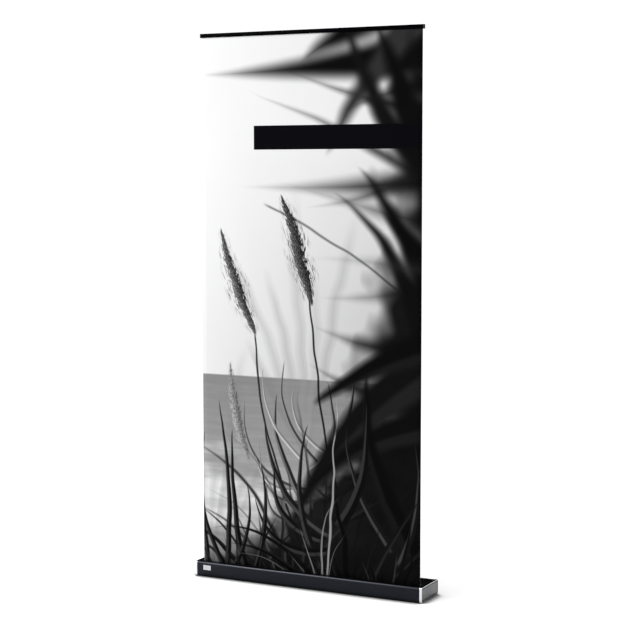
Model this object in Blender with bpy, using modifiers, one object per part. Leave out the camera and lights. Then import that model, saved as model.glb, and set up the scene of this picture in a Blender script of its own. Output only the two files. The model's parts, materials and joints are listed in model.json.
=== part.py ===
# Roll-up banner stand: a wide cassette base with a sprung roller, a printed sheet that is pulled up
# out of a slot, a thin top rail, and a telescopic pole in three sections that stands behind the sheet.
# Metres, +Z up, front of the sheet towards -Y, origin on the floor under the middle of the base.
import math

import bmesh
import bpy
from mathutils import Matrix, Vector

# Driving sizes
SHEET_WIDTH = 1.000
SHEET_THICKNESS = 0.0003
STAND_HEIGHT = 2.282
BASE_MARGIN = 0.0225
BASE_DEPTH = 0.170
BASE_HEIGHT = 0.063
SHEET_SETBACK = 0.038
GAP = 0.0003

# Base cassette
FOOT_HEIGHT = 0.002
FOOT_RADIUS = 0.011
FOOT_INSET_X = 0.075
FOOT_INSET_Y = 0.022
CAP_THICKNESS = 0.010
CAP_PROUD = 0.001
CAP_RIM = 0.0028
GASKET_WIDTH = 0.0040
GASKET_SUNK = 0.0006
PANEL_THICKNESS = 0.0015
PANEL_SUNK = 0.0008
WALL = 0.002
CHAMBER_WALL = 0.0024
TOP_RADIUS = 0.008
BOTTOM_RADIUS = 0.003
SLOT_HALF_WIDTH = 0.0045
BRUSH_HEIGHT = 0.003
BRUSH_DROP = 0.0008
BRUSH_CLEARANCE = 0.0004
SCREW_PORT = 0.011
SCREW_RADIUS = 0.0018
SCREW_LENGTH = 0.026
SCREW_HEAD_RADIUS = 0.0034
SCREW_HEAD_HEIGHT = 0.0022
BADGE_LENGTH = 0.036
BADGE_HEIGHT = 0.020
BADGE_LIFT = 0.007
BADGE_THICKNESS = 0.0005
BADGE_INSET = 0.030
BADGE_RADIUS = 0.0015

# Roller
ROLLER_RADIUS = 0.016
ROLLER_WALL = 0.0012
ROLLER_END_CLEARANCE = 0.0015
LEADER_THICKNESS = 0.0006
ROLL_CLEARANCE = 0.002
SHEET_END_CLEARANCE = 0.0035
SHAFT_RADIUS = 0.003
SHAFT_LENGTH = 0.390
BUSH_WALL = 0.002
PLUG_LENGTH = 0.022
PLUG_FLANGE = 0.0015
DRIVER_LENGTH = 0.014
AXLE_LENGTH = 0.032
COIL_RADIUS = 0.0085
COIL_WIRE = 0.001
COIL_TURNS = 28
COIL_POINTS = 12

# Top rail
RAIL_HEIGHT = 0.017
RAIL_DEPTH = 0.012
RAIL_WALL = 0.0018
RAIL_OVERHANG = 0.0054
RAIL_PLUG = 0.003
RAIL_RADIUS = 0.0012
SHEET_IN_RAIL = 0.010
CLOSED_GAP = 0.003

# Telescopic pole: each section slides in the one below it
POLE_RADIUS = 0.011
POLE_WALL = 0.0011
POLE_CLEARANCE = 0.0004
LOWER_LENGTH = 0.790
STAGE_TRAVEL = 0.650
STAGE_OVERLAP = 0.100
STAGE_SPARE = 0.045
LOCK_PLUG_LENGTH = 0.030
LOCK_PLUG_LIP = 0.004
COLLAR_WALL = 0.0035
COLLAR_LOW = 0.026
COLLAR_HIGH = 0.014
COLLAR_STEPS = 32
SOCKET_WALL = 0.003
SOCKET_FLOOR = 0.003
SOCKET_FLANGE = 0.004
SOCKET_FLANGE_HEIGHT = 0.002
SOCKET_OFFSET = 0.002
FOOT_PLUG_FLANGE = 0.003
FOOT_PLUG_LENGTH = 0.020
HEAD_PLUG_LENGTH = 0.030
HEAD_COLLAR = 0.012
ARM_THICKNESS = 0.007
ARM_WIDTH = 0.022
PAD_THICKNESS = 0.0015
PAD_LENGTH = 0.0055
TIP_CLEARANCE = 0.0012

# Places worked out from the sizes
BASE_LENGTH = SHEET_WIDTH + 2 * BASE_MARGIN
BASE_FRONT = -BASE_DEPTH / 2
SHEET_Y = BASE_FRONT + SHEET_SETBACK
PROFILE_HALF = BASE_LENGTH / 2 - CAP_THICKNESS - GAP
PROFILE_FRONT = BASE_FRONT + CAP_PROUD
PROFILE_REAR = -PROFILE_FRONT
PROFILE_TOP = BASE_HEIGHT - CAP_PROUD
PROFILE_BOTTOM = FOOT_HEIGHT + GAP
RAIL_BOTTOM = STAND_HEIGHT - RAIL_HEIGHT
FULL_DRAW = RAIL_BOTTOM - BASE_HEIGHT - CLOSED_GAP
LEADER_RADIUS = ROLLER_RADIUS + GAP + LEADER_THICKNESS
FULL_ROLL = math.sqrt(LEADER_RADIUS ** 2 + FULL_DRAW * SHEET_THICKNESS / math.pi)
ROLLER_Y = SHEET_Y + SHEET_THICKNESS / 2 + GAP + LEADER_RADIUS
ROLLER_Z = (PROFILE_BOTTOM + PROFILE_TOP) / 2
WEB_FRONT = ROLLER_Y + FULL_ROLL + ROLL_CLEARANCE
WEB_REAR = WEB_FRONT + WALL
SOCKET_BORE = POLE_RADIUS + GAP
SOCKET_RADIUS = SOCKET_BORE + SOCKET_WALL
POLE_Y = WEB_REAR + SOCKET_OFFSET + SOCKET_RADIUS
BRACKET_INNER = SHEET_WIDTH / 2 + SHEET_END_CLEARANCE
BRACKET_OUTER = PROFILE_HALF
ROLLER_HALF = BRACKET_INNER - ROLLER_END_CLEARANCE - PLUG_FLANGE - GAP
PORT_CENTRES = (
    (PROFILE_FRONT + WALL + SCREW_PORT / 2, PROFILE_BOTTOM + WALL + SCREW_PORT / 2),
    (PROFILE_REAR - WALL - SCREW_PORT / 2, PROFILE_BOTTOM + WALL + SCREW_PORT / 2),
)

ALONG_X = (math.pi / 2, 0, math.pi / 2)
AXIS_X = (0, math.pi / 2, 0)


def collection(name):
    found = bpy.data.collections.new(name)
    bpy.context.scene.collection.children.link(found)
    return found


def finish(name, colour, roughness, metallic=0.0):
    material = bpy.data.materials.new(name)
    material.use_nodes = True
    shader = material.node_tree.nodes["Principled BSDF"]
    shader.inputs["Base Color"].default_value = (*colour, 1)
    shader.inputs["Roughness"].default_value = roughness
    shader.inputs["Metallic"].default_value = metallic
    return material


def place(name, data, material, location=(0, 0, 0), rotation=(0, 0, 0), parent=None):
    piece = bpy.data.objects.new(name, data)
    STAND.objects.link(piece)
    piece.location = location
    piece.rotation_euler = rotation
    if data is not None and material is not None:
        data.materials.append(material)
    if parent is not None:
        piece.parent = parent
        piece.matrix_parent_inverse = Matrix.Translation(-parent.location)
    return piece


def pivot(name, location):
    empty = bpy.data.objects.new(name, None)
    STAND.objects.link(empty)
    empty.location = location
    empty.empty_display_size = 0.05
    return empty


def arc(centre, radius, start, end, steps=6):
    points = []
    for step in range(steps + 1):
        angle = math.radians(start + (end - start) * step / steps)
        points.append((centre[0] + radius * math.cos(angle), centre[1] + radius * math.sin(angle)))
    return points


def rounded_box(low, high, radius, steps=4):
    corners = (
        ((high[0] - radius, high[1] - radius), 0),
        ((low[0] + radius, high[1] - radius), 90),
        ((low[0] + radius, low[1] + radius), 180),
        ((high[0] - radius, low[1] + radius), 270),
    )
    points = []
    for centre, start in corners:
        points += arc(centre, radius, start, start + 90, steps)
    return points


def flat(name, outlines, low, high, material, rotation=ALONG_X, location=(0, 0, 0), parent=None):
    """A flat outline, with holes, as thick as from low to high along its own normal."""
    curve = bpy.data.curves.new(name, "CURVE")
    curve.dimensions = "2D"
    curve.fill_mode = "BOTH"
    curve.extrude = (high - low) / 2
    for outline in outlines:
        spline = curve.splines.new("POLY")
        spline.points.add(len(outline) - 1)
        for point, (across, up) in zip(spline.points, outline):
            point.co = (across, up, 0, 1)
        spline.use_cyclic_u = True
    middle = Vector((0, 0, (low + high) / 2))
    piece = place(name, curve, material, (0, 0, 0), rotation, parent)
    piece.location = Vector(location) + piece.rotation_euler.to_matrix() @ middle
    return piece


def turned(name, points, material, location, rotation=(0, 0, 0), steps=32, closed=False, parent=None):
    """A turned shape: (radius, height) points from the top inside, out, and down the outer side."""
    mesh = bpy.data.meshes.new(name)
    edges = [(index, index + 1) for index in range(len(points) - 1)]
    if closed:
        edges.append((len(points) - 1, 0))
    mesh.from_pydata([(radius, 0, height) for radius, height in points], edges, [])
    piece = place(name, mesh, material, location, rotation, parent)
    screw = piece.modifiers.new("turn", "SCREW")
    screw.steps = steps
    screw.render_steps = steps
    screw.use_merge_vertices = True
    screw.merge_threshold = 0.00001
    return piece


def ring(name, inner, outer, low, high, material, location, rotation=(0, 0, 0), steps=32, parent=None):
    points = [(inner, high), (outer, high), (outer, low), (inner, low)]
    return turned(name, points, material, location, rotation, steps, True, parent)


def rod(name, radius, low, high, material, location, rotation=(0, 0, 0), steps=24, parent=None):
    points = [(0, high), (radius, high), (radius, low), (0, low)]
    return turned(name, points, material, location, rotation, steps, False, parent)


def box(name, low, high, material, parent=None):
    mesh = bpy.data.meshes.new(name)
    shape = bmesh.new()
    bmesh.ops.create_cube(shape, size=1)
    size = Vector(high) - Vector(low)
    bmesh.ops.scale(shape, vec=size, verts=shape.verts)
    shape.to_mesh(mesh)
    shape.free()
    return place(name, mesh, material, (Vector(low) + Vector(high)) / 2, (0, 0, 0), parent)


def solid(piece):
    """The same piece as one welded mesh, ready to be cut or to cut."""
    bpy.context.view_layer.update()
    graph = bpy.context.evaluated_depsgraph_get()
    mesh = bpy.data.meshes.new_from_object(piece.evaluated_get(graph))
    shape = bmesh.new()
    shape.from_mesh(mesh)
    bmesh.ops.remove_doubles(shape, verts=shape.verts, dist=0.000001)
    shape.to_mesh(mesh)
    shape.free()
    name = piece.name
    matrix = piece.matrix_world.copy()
    parent = piece.parent
    bpy.data.objects.remove(piece)
    made = bpy.data.objects.new(name, mesh)
    STAND.objects.link(made)
    made.matrix_world = matrix
    if parent is not None:
        made.parent = parent
        made.matrix_parent_inverse = Matrix.Translation(-parent.location)
    return made


def combine(piece, tool, operation):
    """Cuts or joins a mesh with another one, which is put away as a guide."""
    tool = solid(tool)
    STAND.objects.unlink(tool)
    CUTTERS.objects.link(tool)
    tool.hide_render = True
    tool.display_type = "WIRE"
    boolean = piece.modifiers.new(tool.name, "BOOLEAN")
    boolean.operation = operation
    boolean.object = tool


def profile_outlines():
    """The extrusion's section: one wall that starts and ends at the slot, a rear chamber, and two screw ports."""
    front_corner = (PROFILE_FRONT + TOP_RADIUS, PROFILE_TOP - TOP_RADIUS)
    rear_corner = (PROFILE_REAR - TOP_RADIUS, PROFILE_TOP - TOP_RADIUS)
    front_heel = (PROFILE_FRONT + BOTTOM_RADIUS, PROFILE_BOTTOM + BOTTOM_RADIUS)
    rear_heel = (PROFILE_REAR - BOTTOM_RADIUS, PROFILE_BOTTOM + BOTTOM_RADIUS)
    slot_front = SHEET_Y - SLOT_HALF_WIDTH
    slot_rear = SHEET_Y + SLOT_HALF_WIDTH
    ceiling = PROFILE_TOP - WALL
    floor = PROFILE_BOTTOM + WALL
    port_top = floor + SCREW_PORT
    front_port = PROFILE_FRONT + WALL + SCREW_PORT
    rear_port = PROFILE_REAR - WALL - SCREW_PORT
    inner_radius = TOP_RADIUS - WALL

    wall = [(slot_front, PROFILE_TOP)]
    wall += arc(front_corner, TOP_RADIUS, 90, 180, 8)
    wall += arc(front_heel, BOTTOM_RADIUS, 180, 270, 4)
    wall += arc(rear_heel, BOTTOM_RADIUS, 270, 360, 4)
    wall += arc(rear_corner, TOP_RADIUS, 0, 90, 8)
    wall += [(slot_rear, PROFILE_TOP), (slot_rear, ceiling), (WEB_FRONT, ceiling), (WEB_FRONT, floor)]
    wall += [(front_port, floor), (front_port, port_top), (PROFILE_FRONT + WALL, port_top)]
    wall += arc(front_corner, inner_radius, 180, 90, 6)
    wall += [(slot_front, ceiling)]

    chamber_floor = PROFILE_BOTTOM + CHAMBER_WALL
    chamber_port = port_top + CHAMBER_WALL - WALL
    chamber_radius = TOP_RADIUS - CHAMBER_WALL
    chamber = [(WEB_REAR, PROFILE_TOP - CHAMBER_WALL), (WEB_REAR, chamber_floor), (rear_port, chamber_floor)]
    chamber += [(rear_port, chamber_port), (PROFILE_REAR - CHAMBER_WALL, chamber_port)]
    chamber += arc(rear_corner, chamber_radius, 0, 90, 6)

    ports = [arc(centre, SCREW_RADIUS + GAP, 0, 330, 11) for centre in PORT_CENTRES]
    return [wall, chamber] + ports


def make_profile():
    profile = solid(flat("base_profile", profile_outlines(), -PROFILE_HALF, PROFILE_HALF, BLACK))
    hole = rod("socket_hole", SOCKET_RADIUS + GAP, PROFILE_TOP - 2 * WALL, PROFILE_TOP + WALL, BLACK,
               (0, POLE_Y, 0), steps=32)
    combine(profile, hole, "DIFFERENCE")


def cap_outline(inset):
    """The end view of a cap, drawn in by inset all round."""
    front = BASE_FRONT + inset
    rear = -front
    top = BASE_HEIGHT - inset
    bottom = PROFILE_BOTTOM + inset
    upper = max(TOP_RADIUS - inset, 0.001)
    lower = max(BOTTOM_RADIUS - inset, 0.0008)
    points = arc((rear - upper, top - upper), upper, 0, 90, 8)
    points += arc((front + upper, top - upper), upper, 90, 180, 8)
    points += arc((front + lower, bottom + lower), lower, 180, 270, 4)
    points += arc((rear - lower, bottom + lower), lower, 270, 360, 4)
    return points


def make_end(side, name):
    """One chrome cap, the panel and gasket let into it, its two screws and the bearing block behind it."""
    inner = side * (BASE_LENGTH / 2 - CAP_THICKNESS)
    outer = side * BASE_LENGTH / 2
    panel_outer = outer - side * PANEL_SUNK
    panel_inner = panel_outer - side * PANEL_THICKNESS
    seat = panel_inner - side * GAP
    head_seat = seat - side * (SCREW_HEAD_HEIGHT + GAP)

    cap = solid(flat("end_cap_" + name, [cap_outline(0)], min(inner, outer), max(inner, outer), CHROME))
    recess = flat("recess_" + name, [cap_outline(CAP_RIM)], min(seat, outer + side * WALL),
                  max(seat, outer + side * WALL), CHROME)
    combine(cap, recess, "DIFFERENCE")
    gasket_inset = CAP_RIM + GAP + GASKET_WIDTH
    ends = sorted((panel_outer - side * GASKET_SUNK, seat + side * GAP))
    flat("panel_gasket_" + name, [cap_outline(CAP_RIM + GAP), cap_outline(gasket_inset)], ends[0], ends[1], RUBBER)
    ends = sorted((panel_inner, panel_outer))
    flat("end_panel_" + name, [cap_outline(gasket_inset + GAP)], ends[0], ends[1], SATIN)

    for centre, end in zip(PORT_CENTRES, ("front", "rear")):
        ends = sorted((head_seat, (seat + outer) / 2))
        counterbore = rod("counterbore_" + name + "_" + end, SCREW_HEAD_RADIUS + GAP, ends[0], ends[1],
                          CHROME, (0, *centre), AXIS_X)
        ends = sorted((inner - side * WALL, head_seat + side * GAP))
        clearance = rod("clearance_" + name + "_" + end, SCREW_RADIUS + GAP, ends[0], ends[1],
                        CHROME, (0, *centre), AXIS_X)
        combine(cap, counterbore, "DIFFERENCE")
        combine(cap, clearance, "DIFFERENCE")
        make_screw("cap_screw_" + name + "_" + end, side, head_seat, centre)

    make_bracket(side, name)


def make_screw(name, side, head_seat, centre):
    under_head = head_seat + side * GAP
    points = [
        (0, SCREW_HEAD_HEIGHT - GAP),
        (SCREW_HEAD_RADIUS * 0.7, SCREW_HEAD_HEIGHT - GAP),
        (SCREW_HEAD_RADIUS, (SCREW_HEAD_HEIGHT - GAP) / 2),
        (SCREW_HEAD_RADIUS, 0),
        (SCREW_RADIUS, 0),
        (SCREW_RADIUS, -SCREW_LENGTH),
        (0, -SCREW_LENGTH - SCREW_RADIUS),
    ]
    turned(name, points, STEEL, (under_head, *centre), (0, side * math.pi / 2, 0), 20)


def make_bracket(side, name):
    """The bearing block that fills the front chamber at one end and carries the roller's axle."""
    low = PROFILE_BOTTOM + WALL + GAP
    high = PROFILE_TOP - WALL - GAP
    front = PROFILE_FRONT + WALL + SCREW_PORT + GAP
    rear = WEB_FRONT - GAP
    bore = arc((ROLLER_Y, ROLLER_Z), SHAFT_RADIUS + GAP, 0, 345, 23)
    ends = sorted((side * BRACKET_INNER, side * BRACKET_OUTER))
    outline = rounded_box((front, low), (rear, high), 0.0015)
    flat("roller_bracket_" + name, [outline, bore], ends[0], ends[1], NYLON)


def make_base():
    make_profile()
    for side, name in ((-1, "left"), (1, "right")):
        make_end(side, name)

    brush_top = PROFILE_TOP - BRUSH_DROP
    brush_low = brush_top - BRUSH_HEIGHT
    reach = SHEET_THICKNESS / 2 + BRUSH_CLEARANCE
    root = SLOT_HALF_WIDTH - GAP
    for side, name in ((-1, "front"), (1, "rear")):
        outline = [(SHEET_Y + side * root, brush_low), (SHEET_Y + side * root, brush_top)]
        outline += [(SHEET_Y + side * (reach + 0.001), brush_top)]
        outline += [(SHEET_Y + side * reach, brush_top - BRUSH_HEIGHT / 3)]
        outline += [(SHEET_Y + side * reach, brush_low)]
        flat("slot_brush_" + name, [outline], GAP - BRACKET_INNER, BRACKET_INNER - GAP, BRISTLE)

    foot_x = BASE_LENGTH / 2 - FOOT_INSET_X
    foot_y = BASE_DEPTH / 2 - FOOT_INSET_Y
    for across, side in ((-1, "left"), (1, "right")):
        for along, end in ((-1, "front"), (1, "rear")):
            points = [(0, FOOT_HEIGHT), (FOOT_RADIUS, FOOT_HEIGHT), (FOOT_RADIUS, FOOT_HEIGHT / 3)]
            points += [(FOOT_RADIUS - FOOT_HEIGHT / 3, 0), (0, 0)]
            turned("foot_pad_" + side + "_" + end, points, RUBBER, (across * foot_x, along * foot_y, 0))

    badge_middle = (BASE_HEIGHT + FOOT_HEIGHT) / 2 + BADGE_LIFT
    badge_low = (-PROFILE_HALF + BADGE_INSET, badge_middle - BADGE_HEIGHT / 2)
    badge_high = (badge_low[0] + BADGE_LENGTH, badge_low[1] + BADGE_HEIGHT)
    face = -PROFILE_FRONT + GAP
    flat("badge_plate", [rounded_box(badge_low, badge_high, BADGE_RADIUS)], face, face + BADGE_THICKNESS,
         CHROME, (math.pi / 2, 0, 0))

    floor = PROFILE_BOTTOM + CHAMBER_WALL + GAP
    bore_floor = floor + SOCKET_FLOOR
    flange_low = PROFILE_TOP + GAP
    flange_high = flange_low + SOCKET_FLANGE_HEIGHT
    flange = SOCKET_RADIUS + SOCKET_FLANGE
    points = [(0, bore_floor), (SOCKET_BORE, bore_floor), (SOCKET_BORE, flange_high)]
    points += [(flange - SOCKET_FLANGE_HEIGHT / 2, flange_high), (flange, flange_high - SOCKET_FLANGE_HEIGHT / 2)]
    points += [(flange, flange_low), (SOCKET_RADIUS, flange_low), (SOCKET_RADIUS, floor), (0, floor)]
    turned("pole_socket", points, PLASTIC, (0, POLE_Y, 0), steps=40)


def make_spring():
    """The fixed shaft at the left, the coil round it, and the collar on its inner end."""
    start = -BRACKET_OUTER + GAP
    end = start + SHAFT_LENGTH
    axis = (0, ROLLER_Y, ROLLER_Z)
    rod("spring_shaft", SHAFT_RADIUS, start, end, STEEL, axis, AXIS_X)
    collar_end = end - GAP
    ring("spring_anchor", SHAFT_RADIUS + GAP, COIL_RADIUS + COIL_WIRE, collar_end - DRIVER_LENGTH, collar_end,
         NYLON, axis, AXIS_X)

    driver_end = -ROLLER_HALF + PLUG_LENGTH + GAP + DRIVER_LENGTH
    coil_start = driver_end + GAP + COIL_WIRE
    coil_end = collar_end - DRIVER_LENGTH - GAP - COIL_WIRE
    curve = bpy.data.curves.new("torsion_spring", "CURVE")
    curve.dimensions = "3D"
    curve.bevel_depth = COIL_WIRE
    curve.bevel_resolution = 1
    curve.use_fill_caps = True
    spline = curve.splines.new("POLY")
    count = COIL_TURNS * COIL_POINTS + 1
    spline.points.add(count - 1)
    for index, point in enumerate(spline.points):
        angle = 2 * math.pi * index / COIL_POINTS
        along = coil_start + (coil_end - coil_start) * index / (count - 1)
        point.co = (along, COIL_RADIUS * math.cos(angle), COIL_RADIUS * math.sin(angle), 1)
    place("torsion_spring", curve, STEEL, axis)

    axle_start = BRACKET_OUTER - GAP - AXLE_LENGTH
    rod("axle_pin", SHAFT_RADIUS, axle_start, BRACKET_OUTER - GAP, STEEL, axis, AXIS_X)


def make_roller():
    axis = (0, ROLLER_Y, ROLLER_Z)
    spindle = pivot("roller_axis", axis)
    bore = ROLLER_RADIUS - ROLLER_WALL - GAP
    bush_inner = SHAFT_RADIUS + GAP
    bush_outer = bush_inner + BUSH_WALL
    ring("roller_tube", bore + GAP, ROLLER_RADIUS, -ROLLER_HALF, ROLLER_HALF, ALUMINIUM, axis, AXIS_X, 40,
         spindle)
    ring("graphic_leader", ROLLER_RADIUS + GAP, LEADER_RADIUS, -SHEET_WIDTH / 2, SHEET_WIDTH / 2, SHEET,
         axis, AXIS_X, 40, spindle)
    for side, name in ((-1, "left"), (1, "right")):
        face = ROLLER_HALF + GAP + PLUG_FLANGE
        points = [(bush_outer + GAP, face), (ROLLER_RADIUS, face), (ROLLER_RADIUS, ROLLER_HALF + GAP)]
        points += [(bore, ROLLER_HALF + GAP), (bore, ROLLER_HALF - PLUG_LENGTH)]
        points += [(bush_outer + GAP, ROLLER_HALF - PLUG_LENGTH)]
        turned("roller_plug_" + name, points, NYLON, axis, (0, side * math.pi / 2, 0), 32, True, spindle)
        ring("bush_" + name, bush_inner, bush_outer, ROLLER_HALF - PLUG_LENGTH, face, BRASS, axis,
             (0, side * math.pi / 2, 0), 24, spindle)
    start = -ROLLER_HALF + PLUG_LENGTH + GAP
    ring("spring_driver", bush_inner, bore, start, start + DRIVER_LENGTH, NYLON, axis, AXIS_X, 32, spindle)


def make_rail(carrier):
    front = SHEET_Y - SHEET_THICKNESS / 2 - GAP - RAIL_WALL
    rear = front + RAIL_DEPTH
    half = SHEET_WIDTH / 2 + RAIL_OVERHANG - RAIL_PLUG - GAP
    ceiling = STAND_HEIGHT - RAIL_WALL
    outline = [(front, RAIL_BOTTOM)]
    outline += arc((front + RAIL_RADIUS, STAND_HEIGHT - RAIL_RADIUS), RAIL_RADIUS, 180, 90, 4)
    outline += arc((rear - RAIL_RADIUS, STAND_HEIGHT - RAIL_RADIUS), RAIL_RADIUS, 90, 0, 4)
    outline += [(rear, RAIL_BOTTOM), (rear - RAIL_WALL, RAIL_BOTTOM), (rear - RAIL_WALL, ceiling)]
    outline += [(front + RAIL_WALL, ceiling), (front + RAIL_WALL, RAIL_BOTTOM)]
    flat("rail_profile", [outline], -half, half, BLACK, parent=carrier)

    strip_front = SHEET_Y + SHEET_THICKNESS / 2 + GAP
    strip_rear = rear - RAIL_WALL - GAP
    strip = [(strip_front, RAIL_BOTTOM), (strip_rear, RAIL_BOTTOM), (strip_rear, ceiling - GAP)]
    strip += [(strip_front, ceiling - GAP)]
    flat("rail_clamp_strip", [strip], -SHEET_WIDTH / 2, SHEET_WIDTH / 2, PLASTIC, parent=carrier)

    for side, name in ((-1, "left"), (1, "right")):
        ends = sorted((side * (half + GAP), side * (half + GAP + RAIL_PLUG)))
        cover = rounded_box((front, RAIL_BOTTOM), (rear, STAND_HEIGHT), RAIL_RADIUS)
        flat("rail_plug_" + name, [cover], ends[0], ends[1], PLASTIC, parent=carrier)

    box("graphic", (-SHEET_WIDTH / 2, SHEET_Y - SHEET_THICKNESS / 2, ROLLER_Z),
        (SHEET_WIDTH / 2, SHEET_Y + SHEET_THICKNESS / 2, RAIL_BOTTOM + SHEET_IN_RAIL), SHEET, parent=carrier)


def make_collar(name, tube, sliding, top, parent):
    """A twist collar: it sits on the end of one tube and grips the tube that slides in it."""
    radius = tube + GAP + COLLAR_WALL
    low = top - COLLAR_LOW
    high = top + COLLAR_HIGH
    step = top + GAP
    points = [(sliding + GAP, high), (radius - 0.002, high), (radius, high - 0.002), (radius, low)]
    points += [(tube + GAP, low), (tube + GAP, step), (sliding + GAP, step)]
    turned(name, points, PLASTIC, (0, POLE_Y, 0), steps=COLLAR_STEPS, closed=True, parent=parent)


def make_lock_plug(name, bore, low, parent):
    """The plug in a sliding tube's lower end, whose lip guides it in the tube outside."""
    lip = bore + POLE_WALL
    points = [(0, low + LOCK_PLUG_LENGTH), (bore - GAP, low + LOCK_PLUG_LENGTH), (bore - GAP, low - GAP)]
    points += [(lip, low - GAP), (lip, low - GAP - LOCK_PLUG_LIP), (0, low - GAP - LOCK_PLUG_LIP)]
    turned(name, points, NYLON, (0, POLE_Y, 0), parent=parent)


def make_pole(carrier):
    axis = (0, POLE_Y, 0)
    foot = PROFILE_BOTTOM + CHAMBER_WALL + GAP + SOCKET_FLOOR + GAP
    tube_low = foot + FOOT_PLUG_FLANGE + GAP
    lower_top = tube_low + LOWER_LENGTH
    middle_low = lower_top - STAGE_OVERLAP
    middle_top = lower_top + STAGE_TRAVEL + STAGE_SPARE
    upper_low = middle_top - STAGE_OVERLAP
    pad_top = RAIL_BOTTOM - GAP
    arm_top = pad_top - PAD_THICKNESS - GAP
    arm_low = arm_top - ARM_THICKNESS
    upper_top = arm_top - HEAD_COLLAR - GAP
    middle = pivot("middle_carrier", (0, POLE_Y, lower_top))

    bore = POLE_RADIUS - POLE_WALL
    plug_top = tube_low + FOOT_PLUG_LENGTH
    points = [(0, plug_top), (bore - GAP, plug_top), (bore - GAP, tube_low - GAP)]
    points += [(POLE_RADIUS, tube_low - GAP), (POLE_RADIUS, foot), (0, foot)]
    turned("pole_foot_plug", points, PLASTIC, axis)

    middle_radius = bore - POLE_CLEARANCE
    middle_bore = middle_radius - POLE_WALL
    upper_radius = middle_bore - POLE_CLEARANCE
    upper_bore = upper_radius - POLE_WALL
    ring("pole_section_lower", bore, POLE_RADIUS, tube_low, lower_top, SILVER, axis)
    ring("pole_section_middle", middle_bore, middle_radius, middle_low, middle_top, SILVER, axis, parent=middle)
    ring("pole_section_upper", upper_bore, upper_radius, upper_low, upper_top, SILVER, axis, parent=carrier)
    make_lock_plug("lock_plug_middle", middle_bore, middle_low, middle)
    make_lock_plug("lock_plug_upper", upper_bore, upper_low, carrier)
    make_collar("twist_collar_lower", POLE_RADIUS, middle_radius, lower_top, pivot("collar_axis_lower", axis))
    collar_axis = pivot("collar_axis_upper", axis)
    make_collar("twist_collar_upper", middle_radius, upper_radius, middle_top, collar_axis)

    neck = upper_radius + 0.001
    head_low = upper_top - HEAD_PLUG_LENGTH
    points = [(0, arm_top), (neck - 0.001, arm_top), (neck, arm_top - 0.001), (neck, upper_top + GAP)]
    points += [(upper_bore - GAP, upper_top + GAP), (upper_bore - GAP, head_low), (0, head_low)]
    head = solid(turned("pole_head", points, PLASTIC, axis, parent=carrier))
    tip = POLE_Y - (SHEET_Y + SHEET_THICKNESS / 2 + TIP_CLEARANCE)
    half_angle = math.degrees(math.asin(ARM_WIDTH / 2 / tip))
    arm = arc((0, POLE_Y), tip, 270 - half_angle, 270 + half_angle, 8)
    arm += [(neck * 0.8, POLE_Y), (-neck * 0.8, POLE_Y)]
    arm_face = arm_top - GAP / 2
    combine(head, flat("head_arm", [arm], arm_low, arm_face, PLASTIC, (0, 0, 0), parent=carrier), "UNION")

    pad = arc((0, POLE_Y), tip, 270 - half_angle * 0.9, 270 + half_angle * 0.9, 8)
    pad += arc((0, POLE_Y), tip - PAD_LENGTH, 270 + half_angle * 0.9, 270 - half_angle * 0.9, 8)
    flat("rail_rest_pad", [pad], arm_face + GAP, pad_top, RUBBER, (0, 0, 0), parent=carrier)


for old in list(bpy.data.objects):
    bpy.data.objects.remove(old)

STAND = collection("roll_up_banner_stand")
CUTTERS = collection("cutters")

BLACK = finish("black_anodised", (0.016, 0.018, 0.024), 0.38, 0.6)
CHROME = finish("chrome", (0.75, 0.75, 0.76), 0.12, 1.0)
SATIN = finish("satin_panel", (0.32, 0.32, 0.33), 0.35, 0.9)
ALUMINIUM = finish("mill_aluminium", (0.62, 0.62, 0.63), 0.35, 1.0)
SILVER = finish("silver_anodised", (0.50, 0.51, 0.53), 0.32, 1.0)
STEEL = finish("zinc_steel", (0.55, 0.55, 0.56), 0.30, 1.0)
BRASS = finish("brass", (0.60, 0.44, 0.20), 0.30, 1.0)
NYLON = finish("nylon", (0.08, 0.08, 0.085), 0.5)
PLASTIC = finish("black_plastic", (0.02, 0.02, 0.022), 0.45)
RUBBER = finish("rubber", (0.015, 0.015, 0.015), 0.8)
BRISTLE = finish("bristle", (0.012, 0.012, 0.014), 0.9)
SHEET = finish("printed_film", (0.55, 0.55, 0.55), 0.5)

make_base()
make_spring()
make_roller()
TOP_CARRIER = pivot("top_carrier", (0, SHEET_Y, RAIL_BOTTOM))
make_rail(TOP_CARRIER)
make_pole(TOP_CARRIER)
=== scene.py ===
# Roll-up banner stand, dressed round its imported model: a printed sheet drawn up out of a black cassette,
# a thin top rail, chrome end caps and a telescopic pole behind.
import json
import math
import random

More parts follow.
